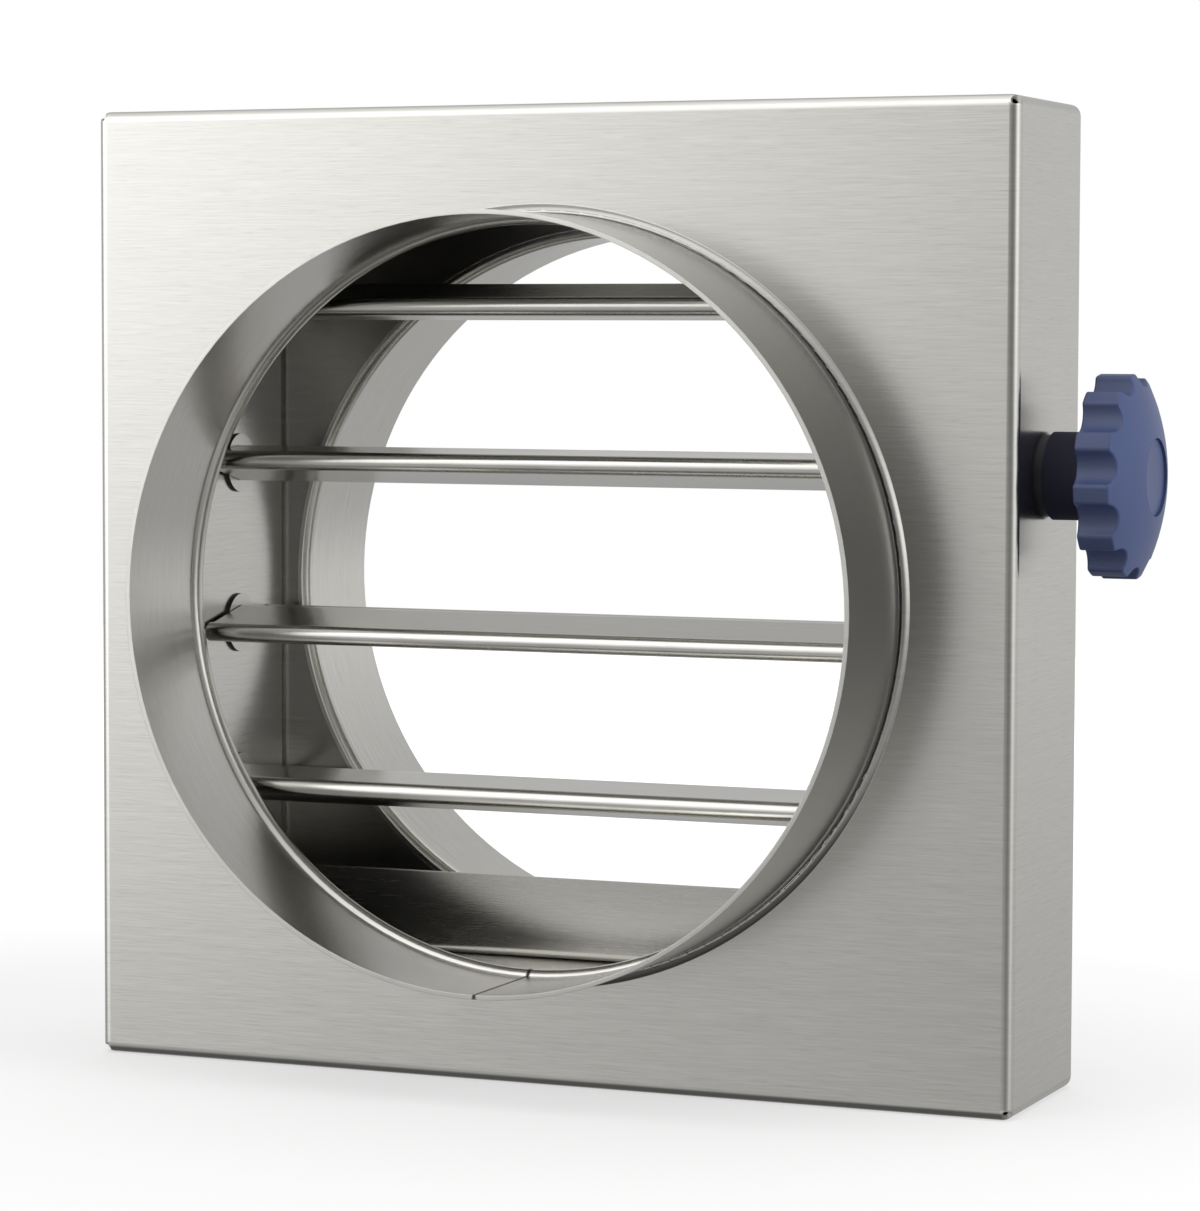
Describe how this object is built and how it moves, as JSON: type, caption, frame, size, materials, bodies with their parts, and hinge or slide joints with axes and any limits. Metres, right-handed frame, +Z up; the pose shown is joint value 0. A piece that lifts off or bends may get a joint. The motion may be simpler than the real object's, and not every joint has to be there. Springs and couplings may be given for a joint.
{
  "type": "volume control damper",
  "caption": "Stainless damper casing with round duct collars, geared opposed double-skin blades that turn together, and a lobed hand knob on one side.",
  "frame": {"origin": "centre of the casing's flat underside, between the front panel and the rear lips", "axes": "+Z up, -Y along the duct axis out of the front collar, +X to the hand knob's side"},
  "size_m": [0.3591, 0.1695, 0.32],
  "materials": {
    "casing_sheet": "stainless sheet with a fine brushed grain, dull reflections",
    "blade_sheet": "stainless sheet, grain along the blade",
    "shaft_steel": "ground round bar",
    "fastener_steel": "plain stainless",
    "gear_nylon": "moulded, natural white",
    "bush_nylon": "moulded, grey",
    "knob_plastic": "moulded, navy blue, satin"
  },
  "bodies": {
    "casing": {"casing_shell": "casing_sheet", "rear_panel": "casing_sheet", "rear_panel_screws": "fastener_steel", "front_collar": "casing_sheet", "rear_collar": "casing_sheet", "left_bearing_channel": "casing_sheet", "right_bearing_channel": "casing_sheet", "chamber_roof": "casing_sheet", "chamber_floor": "casing_sheet", "blanking_strip": "casing_sheet", "left_bush_1": "bush_nylon", "left_bush_2": "bush_nylon", "left_bush_3": "bush_nylon", "left_bush_4": "bush_nylon", "right_bush_1": "bush_nylon", "right_bush_2": "bush_nylon", "right_bush_3": "bush_nylon", "right_bush_4": "bush_nylon", "wall_bush": "bush_nylon"},
    "blade_set_1": {"blade_1": "blade_sheet", "blade_shaft_1": "shaft_steel", "shaft_clip_1": "fastener_steel", "blade_gear_1": "gear_nylon", "gear_screw_1": "fastener_steel"},
    "blade_set_2": {"blade_2": "blade_sheet", "blade_shaft_2": "shaft_steel", "shaft_clip_2": "fastener_steel", "blade_gear_2": "gear_nylon", "gear_screw_2": "fastener_steel", "hand_knob": "knob_plastic", "knob_cap": "knob_plastic", "knob_screw": "fastener_steel"},
    "blade_set_3": {"blade_3": "blade_sheet", "blade_shaft_3": "shaft_steel", "shaft_clip_3": "fastener_steel", "blade_gear_3": "gear_nylon", "gear_screw_3": "fastener_steel"},
    "blade_set_4": {"blade_4": "blade_sheet", "blade_shaft_4": "shaft_steel", "shaft_clip_4": "fastener_steel", "blade_gear_4": "gear_nylon", "gear_screw_4": "fastener_steel"}
  },
  "joints": [
    {"name": "knob_turn", "type": "hinge", "parent": "casing", "child": "blade_set_2", "pos_m": [0, 0, 0.20125], "axis": [1, 0, 0], "range_deg": [-86, 4]},
    {"name": "blade_1_turn", "type": "hinge", "parent": "casing", "child": "blade_set_1", "pos_m": [0, 0, 0.25625], "axis": [1, 0, 0], "range_deg": [-4, 86]},
    {"name": "blade_3_turn", "type": "hinge", "parent": "casing", "child": "blade_set_3", "pos_m": [0, 0, 0.14625], "axis": [1, 0, 0], "range_deg": [-4, 86]},
    {"name": "blade_4_turn", "type": "hinge", "parent": "casing", "child": "blade_set_4", "pos_m": [0, 0, 0.09125], "axis": [1, 0, 0], "range_deg": [-86, 4]}
  ],
  "couplings": [
    {"joint": "blade_1_turn", "follows": "knob_turn", "ratio": -1},
    {"joint": "blade_3_turn", "follows": "knob_turn", "ratio": -1},
    {"joint": "blade_4_turn", "follows": "knob_turn", "ratio": 1}
  ]
}
